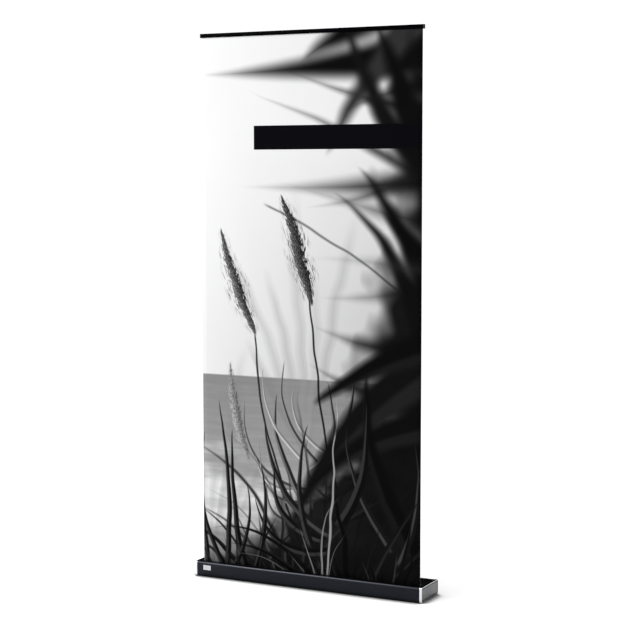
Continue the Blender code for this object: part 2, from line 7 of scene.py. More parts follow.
import bmesh
import bpy
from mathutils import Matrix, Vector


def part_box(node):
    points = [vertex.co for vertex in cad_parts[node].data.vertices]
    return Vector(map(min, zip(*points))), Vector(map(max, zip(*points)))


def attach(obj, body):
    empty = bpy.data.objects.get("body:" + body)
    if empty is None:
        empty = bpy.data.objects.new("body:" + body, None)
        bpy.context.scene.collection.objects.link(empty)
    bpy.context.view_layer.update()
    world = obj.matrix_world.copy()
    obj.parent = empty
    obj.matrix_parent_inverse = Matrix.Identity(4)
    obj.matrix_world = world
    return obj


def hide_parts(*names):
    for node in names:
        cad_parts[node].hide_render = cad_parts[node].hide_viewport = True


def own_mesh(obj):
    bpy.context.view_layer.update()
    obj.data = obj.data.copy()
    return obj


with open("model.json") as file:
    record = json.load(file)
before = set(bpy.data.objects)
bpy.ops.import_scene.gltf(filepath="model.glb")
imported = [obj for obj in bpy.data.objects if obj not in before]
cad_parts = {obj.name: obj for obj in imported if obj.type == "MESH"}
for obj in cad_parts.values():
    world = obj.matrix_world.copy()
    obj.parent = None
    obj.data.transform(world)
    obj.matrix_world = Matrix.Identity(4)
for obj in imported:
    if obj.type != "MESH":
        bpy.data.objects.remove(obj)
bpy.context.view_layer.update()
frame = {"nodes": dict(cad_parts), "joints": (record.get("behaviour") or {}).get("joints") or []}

nodes = frame["nodes"]
print("frame loaded,", len(nodes), "nodes")


# Places that more than one piece uses, read from the frame
baseLow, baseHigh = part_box("base_profile")
sheetLow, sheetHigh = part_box("graphic")
railLow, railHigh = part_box("rail_profile")
rollerLow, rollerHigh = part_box("roller_tube")
poleLow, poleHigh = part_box("pole_section_lower")
sheetY = (sheetLow.y + sheetHigh.y) / 2
poleY = (poleLow.y + poleHigh.y) / 2
rollerZ = (rollerLow.z + rollerHigh.z) / 2
baseTop = baseHigh.z


# Shader maths: a Wire is one socket, and expressions on wires add their Math nodes

class Wire:
    def __init__(self, finish, socket):
        self.finish = finish
        self.socket = socket

    def __add__(self, other):
        return self.finish.math("ADD", self, other)

    def __radd__(self, other):
        return self.finish.math("ADD", other, self)

    def __sub__(self, other):
        return self.finish.math("SUBTRACT", self, other)

    def __rsub__(self, other):
        return self.finish.math("SUBTRACT", other, self)

    def __mul__(self, other):
        return self.finish.math("MULTIPLY", self, other)

    def __rmul__(self, other):
        return self.finish.math("MULTIPLY", other, self)

    def __truediv__(self, other):
        return self.finish.math("DIVIDE", self, other)

    def __rtruediv__(self, other):
        return self.finish.math("DIVIDE", other, self)

    def __pow__(self, other):
        return self.finish.math("POWER", self, other)

    def __abs__(self):
        return self.finish.math("ABSOLUTE", self)

    def __gt__(self, other):
        return self.finish.math("GREATER_THAN", self, other)

    def __lt__(self, other):
        return self.finish.math("LESS_THAN", self, other)

    def clamped(self):
        return self.finish.add("ShaderNodeClamp", {}, {"Value": self})

    def timesPlus(self, factor, extra):
        return self.finish.math("MULTIPLY_ADD", self, factor, extra)


class Finish:
    def __init__(self, name):
        self.material = bpy.data.materials.new(name)
        self.material.use_nodes = True
        self.tree = self.material.node_tree
        self.shader = self.tree.nodes["Principled BSDF"]

    def feed(self, socket, value):
        if isinstance(value, Wire):
            self.tree.links.new(value.socket, socket)
        else:
            socket.default_value = value

    # Any node: its kind, its settings, what goes into its sockets, and the output that is wanted
    def add(self, kind, settings, values, output=0):
        node = self.tree.nodes.new(kind)
        for key, value in settings.items():
            setattr(node, key, value)
        for key, value in values.items():
            self.feed(node.inputs[key], value)
        return Wire(self, node.outputs[output])

    def math(self, operation, *values):
        return self.add("ShaderNodeMath", {"operation": operation}, dict(enumerate(values)))

    def place(self, source=None):
        settings = {"object": source} if source else {}
        return self.add("ShaderNodeTexCoord", settings, {}, "Object")

    def stretched(self, scale):
        return self.add("ShaderNodeVectorMath", {"operation": "MULTIPLY"}, {0: self.place(), 1: scale})

    def split(self, vector):
        return [self.add("ShaderNodeSeparateXYZ", {}, {"Vector": vector}, axis) for axis in "XYZ"]

    def join(self, x, y, z=0.0):
        return self.add("ShaderNodeCombineXYZ", {}, {"X": x, "Y": y, "Z": z})

    def noise(self, place, scale, detail=2.0, roughness=0.5):
        values = {"Vector": place, "Scale": scale, "Detail": detail, "Roughness": roughness}
        return self.add("ShaderNodeTexNoise", {}, values, "Fac")

    def mix(self, share, low, high):
        return self.add("ShaderNodeMix", {"data_type": "FLOAT"}, {0: share, 2: low, 3: high})

    def mixColours(self, share, low, high):
        return self.add("ShaderNodeMix", {"data_type": "RGBA"}, {0: share, 6: low, 7: high}, 2)

    def bump(self, height, depth, strength=1.0):
        normal = self.add("ShaderNodeBump", {}, {"Height": height, "Distance": depth, "Strength": strength})
        self.feed(self.shader.inputs["Normal"], normal)

    # Values or wires for the shader's own sockets
    def set(self, **values):
        for key, value in values.items():
            self.feed(self.shader.inputs[key.replace("_", " ")], value)


def colour(red, green, blue):
    return (red, green, blue, 1.0)


def grey(tone):
    return colour(tone, tone, tone)


# Camera, floor and light

cameraView = {
    "place": (3.0363, -5.9995, 1.6932),
    "tilt": math.pi / 2 - 0.0796,
    "turn": 0.4647,
    "lens": 92.51,
    "shiftUp": -0.02,
}


def makeCamera():
    data = bpy.data.cameras.new("camera")
    camera = bpy.data.objects.new("camera", data)
    bpy.context.scene.collection.objects.link(camera)
    camera.location = cameraView["place"]
    camera.rotation_euler = (cameraView["tilt"], 0, cameraView["turn"])
    data.lens = cameraView["lens"]
    data.shift_y = cameraView["shiftUp"]
    data.clip_end = 100
    bpy.context.scene.camera = camera


studio = {
    "skyTone": 1.05,  # strength of the even light from all round
    "floorTone": 0.95,
    "floorHalf": 14,
    "contactReach": 0.06,  # how far from the base the painted contact shadow reaches
    "contactLift": 1.25,
    "contactDepth": 4.5,
    "contactShadowTone": 0.02,
    "overheadPower": 150,
    "overheadSize": (4.0, 4.0),
    "overheadPlace": (-2.3, -1.8, 5.0),
    "stripPower": 150,
    "stripSize": (1.2, 3.6),
    "stripPlace": (-3.9, -2.2, 4.0),
    "flagAway": 2.6,
    "flagSpan": (-4.5, 5.0),
    "flagHeight": 3.2,
}


# A soft box that looks straight down
def makeLamp(name, power, size, place):
    data = bpy.data.lights.new(name, "AREA")
    data.shape = "RECTANGLE"
    data.size = size[0]
    data.size_y = size[1]
    data.energy = power
    lamp = bpy.data.objects.new(name, data)
    bpy.context.scene.collection.objects.link(lamp)
    lamp.location = place
    lamp.visible_camera = False


# Pale paper with a painted contact shadow: its colour darkens right beside what stands on it
def makePaperFloor():
    paper = Finish("paperFloor")
    reach = {"Distance": studio["contactReach"]}
    near = paper.add("ShaderNodeAmbientOcclusion", {"samples": 12}, reach, "AO")
    clear = (near * studio["contactLift"]).clamped() ** studio["contactDepth"]
    tint = paper.mixColours(clear, grey(studio["contactShadowTone"]), grey(studio["floorTone"]))
    paper.set(Base_Color=tint, Roughness=0.9, Specular_IOR_Level=0.1)
    return paper.material


# A dark card behind the stand: it shows only as a reflection in bright metal and on the base's top
def makeFlag():
    far = studio["flagAway"]
    left, right = studio["flagSpan"]
    top = studio["flagHeight"]
    corners = [(left, far, 0.0), (right, far, 0.0), (right, far, top), (left, far, top)]
    mesh = bpy.data.meshes.new("flag")
    mesh.from_pydata(corners, [], [(0, 1, 2, 3)])
    card = bpy.data.objects.new("flag", mesh)
    bpy.context.scene.collection.objects.link(card)
    cloth = Finish("flagCloth")
    cloth.set(Base_Color=grey(0.002), Roughness=1.0, Specular_IOR_Level=0.0)
    mesh.materials.append(cloth.material)
    card.visible_camera = False
    card.visible_diffuse = False
    card.visible_shadow = False


def makeStudio():
    world = bpy.data.worlds.new("studio")
    bpy.context.scene.world = world
    world.use_nodes = True
    sky = world.node_tree.nodes["Background"]
    sky.inputs["Color"].default_value = (1, 1, 1, 1)
    sky.inputs["Strength"].default_value = studio["skyTone"]

    half = studio["floorHalf"]
    corners = [(-half, -half, 0), (half, -half, 0), (half, half, 0), (-half, half, 0)]
    mesh = bpy.data.meshes.new("floor")
    mesh.from_pydata(corners, [], [(0, 1, 2, 3)])
    floor = bpy.data.objects.new("floor", mesh)
    bpy.context.scene.collection.objects.link(floor)
    mesh.materials.append(makePaperFloor())

    makeFlag()
    makeLamp("overheadLight", studio["overheadPower"], studio["overheadSize"], studio["overheadPlace"])
    makeLamp("stripLight", studio["stripPower"], studio["stripSize"], studio["stripPlace"])
    bpy.context.scene.view_settings.view_transform = "Standard"


makeCamera()
makeStudio()
print("camera and studio set")


# Finishes: dark and light are the two tones that each one varies between

anodisedLook = {
    "tint": (0.88, 0.95, 1.2),  # a cold black
    "edgeHighlight": (0.066, 0.069, 0.078),  # painted highlight along the rounded front edge
    "roughness": 0.26,
}


def makeBlackAnodised(name, tone, sheen):
    metal = Finish(name)
    dieLines = metal.noise(metal.stretched((1.5, 700, 700)), 1.0, 3.0)  # drawn through the die, along X
    cloud = metal.noise(metal.place(), 9.0, 3.0)
    edgeHighlight = metal.noise(metal.place(), 60.0, 4.0, 0.65)
    facing = metal.split(metal.add("ShaderNodeNewGeometry", {}, {}, "Normal"))
    edge = (0 - facing[1] * facing[2] * 2.2 - 0.25).clamped()  # mask of the painted highlight: strongest where it faces forward and up
    shade = (dieLines - 0.5) * 0.25 + (cloud - 0.5) * 0.3 + 1.0
    light = colour(*[2 * tone * part for part in anodisedLook["tint"]])
    base = metal.mixColours(shade * 0.5, grey(0), light)
    # paints a highlight on the rounded front edge, mottled by noise and scaled by sheen
    lit = metal.mixColours(edge * (edgeHighlight * 0.4 + 0.7) * sheen, base, colour(*anodisedLook["edgeHighlight"]))
    roughness = dieLines * 0.12 + cloud * 0.08 + anodisedLook["roughness"]
    metal.set(Base_Color=lit, Metallic=1.0, Roughness=roughness)
    metal.bump(dieLines, 0.00004, 0.6)
    return metal.material


chromeLook = {
    "dark": (0.60, 0.61, 0.63),
    "light": (0.72, 0.72, 0.73),
    "roughness": 0.05,
}


def makeChrome():
    chrome = Finish("chrome")
    haze = chrome.noise(chrome.place(), 45.0, 4.0, 0.6)
    wipe = chrome.noise(chrome.stretched((40, 40, 900)), 1.0, 2.0)
    tint = chrome.mixColours(haze, colour(*chromeLook["dark"]), colour(*chromeLook["light"]))
    chrome.set(Base_Color=tint, Metallic=1.0, Roughness=haze * 0.06 + wipe * 0.05 + chromeLook["roughness"])
    chrome.bump(wipe, 0.00001, 0.4)
    return chrome.material


satinLook = {
    "dark": (0.07, 0.071, 0.075),
    "light": (0.22, 0.222, 0.228),
    "roughness": 0.28,
    "anisotropy": 0.5,
}


def makeSatinPanel():
    satin = Finish("satinPanel")
    brushed = satin.noise(satin.stretched((300, 12, 1800)), 1.0, 4.0, 0.6)  # brushed along Y
    fine = satin.noise(satin.stretched((300, 40, 5000)), 1.0, 2.0)
    cloud = satin.noise(satin.place(), 14.0, 2.0)
    # painted reflection: the panel grows lighter towards its top, as the grey it reflects does
    up = satin.split(satin.place())[2]
    paintedReflectionRise = ((up - baseLow.z) / (baseTop - baseLow.z)).clamped()
    shade = brushed * 0.5 + fine * 0.25 + cloud * 0.25 + paintedReflectionRise * 0.35 - 0.15
    tint = satin.mixColours(shade.clamped(), colour(*satinLook["dark"]), colour(*satinLook["light"]))
    satin.set(Base_Color=tint, Metallic=1.0, Roughness=brushed * 0.2 + satinLook["roughness"])
    satin.set(Anisotropic=satinLook["anisotropy"])
    satin.bump(brushed + fine * 0.5, 0.00003, 0.7)
    return satin.material


silverLook = {
    "dark": (0.34, 0.345, 0.355),
    "light": (0.62, 0.625, 0.635),
    "roughness": 0.24,
}
badgeLook = {
    "dark": (0.36, 0.365, 0.38),
    "light": (0.56, 0.565, 0.58),
    "roughness": 0.3,
}


def makeTubeMetal(name, look):
    tube = Finish(name)
    place = tube.place()
    drawn = tube.noise(tube.stretched((500, 500, 4)), 1.0, 3.0, 0.55)  # drawn along the tube
    scuffs = tube.noise(tube.stretched((30, 30, 260)), 1.0, 4.0, 0.7)
    cloud = tube.noise(place, 7.0, 2.0)
    scratch = (scuffs > 0.66) * 0.35
    shade = drawn * 0.55 + cloud * 0.45 - scratch
    tint = tube.mixColours(shade.clamped(), colour(*look["dark"]), colour(*look["light"]))
    tube.set(Base_Color=tint, Metallic=1.0, Roughness=drawn * 0.14 + scratch * 0.2 + look["roughness"])
    tube.bump(drawn, 0.00003, 0.5)
    return tube.material


millLook = {
    "dark": (0.42, 0.425, 0.43),
    "light": (0.72, 0.72, 0.73),
    "roughness": 0.26,
}


def makeRollerMetal():
    tube = Finish("millAluminium")
    drawn = tube.noise(tube.stretched((4, 600, 600)), 1.0, 3.0, 0.6)
    cloud = tube.noise(tube.place(), 11.0, 3.0)
    shade = drawn * 0.6 + cloud * 0.4
    tint = tube.mixColours(shade, colour(*millLook["dark"]), colour(*millLook["light"]))
    tube.set(Base_Color=tint, Metallic=1.0, Roughness=drawn * 0.2 + millLook["roughness"])
    tube.bump(drawn, 0.00004, 0.5)
    return tube.material


steelLook = {
    "dark": (0.40, 0.41, 0.43),
    "light": (0.70, 0.70, 0.69),
    "roughness": 0.24,
    "spangleScale": 420.0,
}


def makeSteel():
    steel = Finish("zincSteel")
    spangleSize = {"Vector": steel.place(), "Scale": steelLook["spangleScale"]}
    spangle = steel.add("ShaderNodeTexVoronoi", {}, spangleSize, "Distance")
    cloud = steel.noise(steel.place(), 90.0, 3.0)
    shade = spangle * 0.6 + cloud * 0.5
    tint = steel.mixColours(shade, colour(*steelLook["dark"]), colour(*steelLook["light"]))
    steel.set(Base_Color=tint, Metallic=1.0, Roughness=cloud * 0.18 + steelLook["roughness"])
    steel.bump(cloud, 0.00003, 0.5)
    return steel.material


brassLook = {
    "dark": (0.36, 0.24, 0.09),
    "light": (0.74, 0.55, 0.26),
    "roughness": 0.24,
}


def makeBrass():
    brass = Finish("brass")
    turned = brass.noise(brass.stretched((1500, 60, 60)), 1.0, 2.0)
    tarnish = brass.noise(brass.place(), 120.0, 4.0, 0.6)
    tint = brass.mixColours(tarnish, colour(*brassLook["dark"]), colour(*brassLook["light"]))
    brass.set(Base_Color=tint, Metallic=1.0, Roughness=turned * 0.2 + brassLook["roughness"])
    brass.bump(turned, 0.00003, 0.5)
    return brass.material


def makePlastic(name, tone, roughness, grainScale, grainDepth):
    plastic = Finish(name)
    place = plastic.place()
    grain = plastic.noise(place, grainScale, 2.0, 0.6)
    flow = plastic.noise(place, 35.0, 2.0)
    dust = (plastic.noise(place, 260.0, 3.0, 0.7) - 0.58).clamped() * 1.5
    dark = colour(tone * 0.8, tone * 0.8, tone * 0.85)
    light = colour(tone * 1.5, tone * 1.5, tone * 1.6)
    tint = plastic.mixColours((flow * 0.6 + grain * 0.3 + dust).clamped(), dark, light)
    worn = (grain * 0.18 + dust * 0.3 + roughness).clamped()
    plastic.set(Base_Color=tint, Roughness=worn, Specular_IOR_Level=0.35)
    plastic.bump(grain, grainDepth, 0.8)
    return plastic.material


def makeRubber():
    rubber = Finish("rubber")
    place = rubber.place()
    bloom = rubber.noise(place, 70.0, 4.0, 0.65)
    pores = rubber.noise(place, 1600.0, 2.0)
    tint = rubber.mixColours(bloom, colour(0.008, 0.008, 0.009), colour(0.035, 0.035, 0.036))
    rubber.set(Base_Color=tint, Roughness=bloom * 0.15 + 0.72, Specular_IOR_Level=0.25)
    rubber.bump(pores, 0.00008, 0.8)
    return rubber.material


def makeBristle():
    bristle = Finish("bristle")
    strands = bristle.noise(bristle.stretched((3800, 200, 200)), 1.0, 2.0, 0.6)
    tint = bristle.mixColours(strands, colour(0.004, 0.004, 0.005), colour(0.045, 0.045, 0.05))
    bristle.set(Base_Color=tint, Roughness=strands * 0.2 + 0.65, Specular_IOR_Level=0.2)
    bristle.bump(strands, 0.0001, 0.8)
    return bristle.material


def makeFilmBack():
    film = Finish("filmBack")
    weave = film.noise(film.stretched((2200, 2200, 500)), 1.0, 2.0)
    rolls = film.noise(film.stretched((2, 1, 30)), 1.0, 2.0)
    cloud = film.noise(film.place(), 3.0, 3.0)
    shade = weave * 0.3 + rolls * 0.35 + cloud * 0.35
    tint = film.mixColours(shade, colour(0.50, 0.51, 0.52), colour(0.66, 0.665, 0.67))
    film.set(Base_Color=tint, Roughness=weave * 0.15 + 0.5, Specular_IOR_Level=0.3)
    film.bump(weave, 0.00005, 0.5)
    return film.material


# The printed picture: reeds on a shore, drawn in tones of grey from 0 to 1, where 1 is white.
# Across runs 0 to 1 over the sheet's width, and up is metres above the cassette.

class Picture:
    def __init__(self, film, across, up):
        self.film = film
        self.across = across
        self.up = up
        self.tone = None

    # Lays an ink over what is drawn so far, where the mask is 1
    def lay(self, mask, ink):
        self.tone = self.film.mix(mask, self.tone, ink)

    # 1 where the gap is less than half the width, with a soft edge
    def inside(self, half, gap, soft):
        return ((half - gap) / soft + 0.5).clamped()

    # Distance along a line (0 to 1) and to its side, with a bow to the left of the way it runs
    def follow(self, start, end, bow):
        run = math.hypot(end[0] - start[0], end[1] - start[1])
        stepX = (end[0] - start[0]) / run
        stepY = (end[1] - start[1]) / run
        along = self.across.timesPlus(stepX / run, self.up * (stepY / run))
        along = along - (start[0] * stepX + start[1] * stepY) / run
        aside = self.up.timesPlus(stepX, self.across * -stepY) - (start[1] * stepX - start[0] * stepY)
        arch = (along - along * along) * 4
        return along, aside - arch * bow, arch

    # A leaf that tapers to its tip; with a fold, one side of it is lighter
    def leaf(self, start, end, bow, width, ink, soft, fullness, fold=0.0):
        along, aside, arch = self.follow(start, end, bow)
        half = ((1 - along).clamped() ** fullness) * (width / 2)
        mask = self.inside(half, abs(aside), soft) * (arch * 6).clamped()
        if fold:
            ink = (aside * (2 / soft)).clamped() * fold + ink
        self.lay(mask, ink)

    # A leaf out of focus: it fades to nothing at its tip and sides
    def blur(self, start, end, bow, width, ink, soft, fullness):
        along, aside, arch = self.follow(start, end, bow)
        half = ((1 - along).clamped() ** fullness) * (width / 2 + soft)
        mask = ((half - abs(aside)) / (soft * 2)).clamped()
        mask = mask * mask * (3 - mask * 2)
        self.lay(mask * (arch * 5).clamped(), ink)

    def stem(self, start, end, bow, width, ink, soft):
        self.leaf(start, end, bow, width, ink, soft, 0.12)

    # A feathered seed head: a ragged spindle with grains that lie along it, and loose hairs outside
    def plume(self, start, end, bow, width, dark, light, seed):
        film = self.film
        along, aside, arch = self.follow(start, end, bow)
        off = abs(aside)
        hair = film.noise(film.join(aside * 130 + seed, (along - off * 5) * 20), 1.0, 3.0, 0.7)
        wisp = film.noise(film.join(aside * 300 - seed, (along - off * 5) * 9), 1.0, 2.0, 0.6)
        grain = film.noise(film.join(aside * 420 + seed, (along - off * 7) * 48), 1.0, 2.0, 0.7)
        taper = (arch.clamped() ** 0.8) * (1.3 - along * 0.6)
        inner = self.inside(taper * (width / 2) * (hair * 3.0 - 0.65), off, 0.005)
        outer = self.inside(taper * width, off, 0.02) * ((wisp - 0.55) * 14).clamped() * 0.75
        edges = (arch * 8).clamped()
        share = ((grain - 0.36) * 3.2 + aside * (1.0 / width)).clamped()
        self.lay(outer * edges, (dark + light) / 2)
        self.lay(inner * edges, film.mix(share, dark, light))

    # A tuft of blades that spring from one root: lean is the way it points, in degrees from upright
    def tuft(self, root, lean, spread, count, reach, width, inks, soft, droop, seed, strength=1.0):
        film = self.film
        turn = math.radians(lean)
        sideways = self.across - root[0]
        lifted = self.up - root[1]
        forward = sideways.timesPlus(math.sin(turn), lifted * math.cos(turn))
        aside = sideways.timesPlus(math.cos(turn), lifted * -math.sin(turn))
        radius = film.math("SQRT", forward * forward + aside * aside)
        angle = film.math("ARCTAN2", aside, forward)
        fan = math.radians(spread)
        # blades bow outwards as they rise
        sector = angle * (1.15 - radius * droop) * (count / fan) + count / 2
        number = film.math("FLOOR", sector)
        seeded = {"W": number + seed}
        chance = film.add("ShaderNodeTexWhiteNoise", {"noise_dimensions": "1D"}, seeded, "Color")
        first, second, third = film.split(chance)
        rise = radius / (first * (0.55 * reach) + 0.45 * reach)
        within = sector - number - 0.5 - (second - 0.5) * 0.4 - (third - 0.5) * rise * rise * 0.5
        gap = abs(within) * radius * (fan / count)
        half = (1.02 - rise) * (0.35 + third) * (width / 2) * ((rise * 9).clamped() * 0.7 + 0.3)
        bounds = (abs(sector - count / 2) < count / 2) * ((1.02 - rise) * 5).clamped() * strength
        mask = self.inside(half, gap, soft) * bounds
        ink = second.timesPlus(inks[1] - inks[0], inks[0])
        if soft < 0.01:
            ink = ink + (within > 0.03) * ((third - 0.35) * 0.22)  # one side of the fold is lighter
        self.lay(mask, ink)


pictureTones = {
    "sky": 0.985,
    "skyFade": 0.16,
    "horizon": 0.80,
    "farSea": 0.55,
    "foam": 0.94,
    "foamUp": 0.27,
    "strip": (0.248, 1.739, 1.837),  # where the plain strip starts, and its lower and upper edges
    "stripInk": (0.0004, 0.0004, 0.0014),
    "gloss": 0.42,
    "paper": 0.64,
}


def drawShore(picture):
    film = picture.film
    across = picture.across
    up = picture.up
    drift = film.noise(film.join(across * 1.6, up * 1.1), 1.0, 3.0, 0.5)
    sunk = ((1.75 - up) * 1.1).clamped()
    fade = sunk * (across * 0.75 + 0.25) * pictureTones["skyFade"]
    picture.tone = pictureTones["sky"] - across * 0.05 - fade + (drift - 0.5) * 0.06

    waves = film.noise(film.join(across * 3.0, up * 46.0), 1.0, 3.0, 0.6)
    surf = film.noise(film.join(across * 2.2 + 7, up * 13.0), 1.0, 3.0, 0.6)
    depth = ((pictureTones["horizon"] - up) / 0.35).clamped()
    band = abs(up - pictureTones["foamUp"]) * 1.8
    foam = ((0.40 - band - across * 0.34 + (surf - 0.5) * 0.8) * 3).clamped()
    water = depth * 0.07 + pictureTones["farSea"] + (waves - 0.5) * 0.12 - (0.14 - up).clamped() * 1.6
    water = film.mix(foam, water, pictureTones["foam"])
    picture.lay(((pictureTones["horizon"] - up) / 0.006 + 0.5).clamped(), water)


# Pale stalks far off. A tuft's row is its root, lean, spread, count, reach, width, inks, softness, droop,
# seed and strength
farTufts = (
    ((0.02, -0.15), 4, 50, 7, 1.45, 0.05, (0.50, 0.66), 0.06, 0.10, 41.0, 0.5),
    ((0.50, 0.45), -10, 50, 6, 1.15, 0.035, (0.45, 0.66), 0.06, 0.12, 12.0, 0.5),
)

# Leaves out of focus that reach in from the right: root, tip, bow, width, ink, softness and fullness
farLeaves = (
    ((1.70, 2.24), (-0.06, 2.05), 0.05, 0.31, 0.04, 0.040, 0.85),
    ((1.40, 2.46), (0.44, 2.08), -0.06, 0.36, 0.02, 0.045, 0.60),
    ((1.30, 1.86), (0.30, 2.10), 0.05, 0.09, 0.20, 0.026, 0.90),
    ((1.10, 2.34), (0.56, 1.70), -0.05, 0.16, 0.20, 0.034, 0.50),
    ((1.00, 1.62), (0.20, 1.99), -0.02, 0.055, 0.30, 0.024, 0.80),
    ((1.06, 1.60), (0.60, 2.32), 0.04, 0.110, 0.08, 0.028, 0.50),
    ((1.20, 2.02), (0.62, 1.88), -0.02, 0.150, 0.12, 0.040, 0.90),
    ((1.20, 1.52), (0.80, 2.26), 0.05, 0.200, 0.04, 0.035, 0.50),
    ((1.80, 1.72), (0.14, 1.59), 0.05, 0.27, 0.05, 0.055, 0.95),
    ((1.40, 1.40), (0.34, 1.62), 0.03, 0.15, 0.20, 0.055, 1.00),
    ((1.30, 1.86), (0.44, 1.50), 0.08, 0.14, 0.14, 0.040, 0.90),
    ((1.02, 0.90), (0.58, 1.58), -0.10, 0.100, 0.09, 0.022, 0.60),
    ((1.12, 0.80), (0.70, 1.68), -0.09, 0.150, 0.05, 0.028, 0.50),
    ((1.20, 0.80), (0.82, 1.50), -0.08, 0.200, 0.03, 0.035, 0.50),
    ((1.40, 1.16), (0.44, 1.30), -0.04, 0.17, 0.26, 0.065, 1.10),
    ((1.50, 1.40), (0.50, 1.14), 0.08, 0.24, 0.06, 0.060, 1.00),
    ((1.40, 1.02), (0.46, 1.04), 0.09, 0.26, 0.05, 0.044, 1.00),
    ((1.30, 0.74), (0.46, 0.88), 0.07, 0.20, 0.10, 0.032, 0.90),
)


looseStem = ((0.98, 1.12), (0.30, 1.52), -0.02, 0.007, 0.34, 0.010)  # root, tip, bow, width, ink, softness


def drawFarLeaves(picture):
    film = picture.film
    for tuft in farTufts:
        picture.tuft(*tuft)
    for leaf in farLeaves:
        picture.blur(*leaf)
    picture.stem(*looseStem)
    shade = film.noise(film.join(picture.across * 4 + 3, picture.up * 2.6), 1.0, 2.0, 0.5)
    edge = picture.across - 0.93 + (shade - 0.5) * 0.7 + (1.75 - picture.up) * 0.10
    picture.lay((edge / 0.22 + 0.5).clamped() * 0.96, 0.01 + shade * 0.08)


# Each row is a blade's root, tip, bow, width, ink and softness, back to front
broadBlades = (
    ((1.20, 0.98), (0.40, 0.14), -0.10, 0.230, 0.07, 0.044),
    ((1.30, 1.02), (0.52, 0.70), -0.05, 0.170, 0.04, 0.034),
    ((1.20, 0.66), (0.50, 0.34), -0.08, 0.160, 0.05, 0.030),
    ((0.98, 0.10), (0.76, 0.84), 0.06, 0.100, 0.03, 0.024),
    ((0.88, 0.12), (0.68, 0.62), 0.05, 0.034, 0.10, 0.005),
    ((0.90, 0.06), (0.98, 0.58), -0.04, 0.034, 0.09, 0.005),
    ((0.62, 0.16), (0.30, 0.64), 0.10, 0.044, 0.11, 0.005),
    ((0.58, 0.14), (0.34, 0.46), 0.10, 0.042, 0.07, 0.004),
    ((0.60, 0.10), (0.24, 0.30), 0.10, 0.042, 0.05, 0.004),
    ((0.64, 0.20), (0.76, 0.74), -0.06, 0.048, 0.05, 0.004),
    ((0.52, 0.10), (0.50, 0.62), 0.05, 0.036, 0.08, 0.004),
    ((0.24, -0.10), (0.14, 0.58), 0.04, 0.036, 0.04, 0.004),
    ((0.22, -0.10), (0.27, 0.44), -0.05, 0.040, 0.06, 0.004),
    ((0.20, -0.10), (0.00, 0.36), 0.07, 0.034, 0.04, 0.004),
    ((0.12, -0.10), (0.08, 0.70), -0.02, 0.032, 0.05, 0.004),
    ((0.08, -0.10), (0.20, 0.36), -0.07, 0.030, 0.05, 0.004),
    ((0.04, -0.10), (0.01, 0.56), 0.03, 0.028, 0.07, 0.004),
)


# Leaves that spring from the middle tuft: root, tip, bow, width and ink
tuftLeaves = (
    ((0.52, 0.34), (0.20, 0.70), 0.13, 0.032, 0.30),
    ((0.54, 0.30), (0.27, 0.54), 0.13, 0.028, 0.42),
    ((0.50, 0.28), (0.36, 0.74), 0.06, 0.034, 0.16),
    ((0.56, 0.36), (0.58, 0.80), -0.05, 0.036, 0.20),
    ((0.56, 0.30), (0.74, 0.66), -0.10, 0.040, 0.14),
    ((0.58, 0.24), (0.80, 0.46), -0.10, 0.032, 0.36),
    ((0.60, 0.42), (0.38, 0.88), 0.08, 0.026, 0.26),
    ((0.50, 0.20), (0.30, 0.40), 0.09, 0.030, 0.34),
    ((0.56, 0.44), (0.70, 0.84), -0.05, 0.034, 0.10),
    ((0.48, 0.46), (0.28, 0.84), 0.05, 0.020, 0.52),
    ((0.50, 0.42), (0.63, 0.73), -0.06, 0.022, 0.54),
    ((0.60, 0.50), (0.44, 0.79), 0.07, 0.022, 0.48),
    ((0.66, 0.40), (0.84, 0.70), -0.08, 0.034, 0.12),
    ((0.44, 0.34), (0.24, 0.48), 0.06, 0.024, 0.52),
    ((0.62, 0.30), (0.50, 0.56), 0.06, 0.026, 0.30),
)


# The reeds: stems, then seed heads with their two inks and a seed
reedStems = (
    ((0.47, 0.10), (0.235, 1.00), 0.035, 0.009, 0.14, 0.005),
    ((0.66, 0.30), (0.50, 1.16), 0.03, 0.009, 0.10, 0.005),
)
seedHeads = (
    ((0.245, 0.97), (0.095, 1.42), 0.015, 0.052, 0.06, 0.60, 5.0),
    ((0.515, 1.10), (0.375, 1.56), -0.012, 0.060, 0.05, 0.48, 21.0),
    ((0.21, 0.44), (0.13, 0.86), 0.012, 0.044, 0.30, 0.78, 47.0),
)


def drawReeds(picture):
    for stem in reedStems:
        picture.stem(*stem)
    for head in seedHeads:
        picture.plume(*head)
    for leaf in tuftLeaves:
        picture.leaf(*leaf, soft=0.004, fullness=0.7, fold=0.3)


# Tufts behind and in front of the broad blades, in the same order as a far tuft's row
rearTufts = (
    ((0.62, -0.40), -8, 60, 13, 1.20, 0.022, (0.12, 0.40), 0.006, 0.60, 71.0),
    ((0.44, -0.30), -14, 70, 13, 0.90, 0.040, (0.03, 0.18), 0.004, 0.75, 91.0),
)
frontTufts = (
    ((0.20, -0.25), -4, 84, 9, 0.60, 0.030, (0.03, 0.20), 0.004, 0.7, 101.0),
    ((0.68, -0.30), 6, 80, 15, 0.80, 0.044, (0.01, 0.12), 0.004, 0.8, 107.0),
    ((0.56, -0.14), -16, 70, 5, 0.52, 0.013, (0.34, 0.62), 0.003, 1.2, 113.0),
    ((0.88, -0.28), -2, 70, 11, 0.66, 0.044, (0.01, 0.09), 0.004, 0.8, 121.0),
)
dryStem = ((0.57, -0.06), (0.64, 0.60), -0.02, 0.010, 0.62, 0.004)


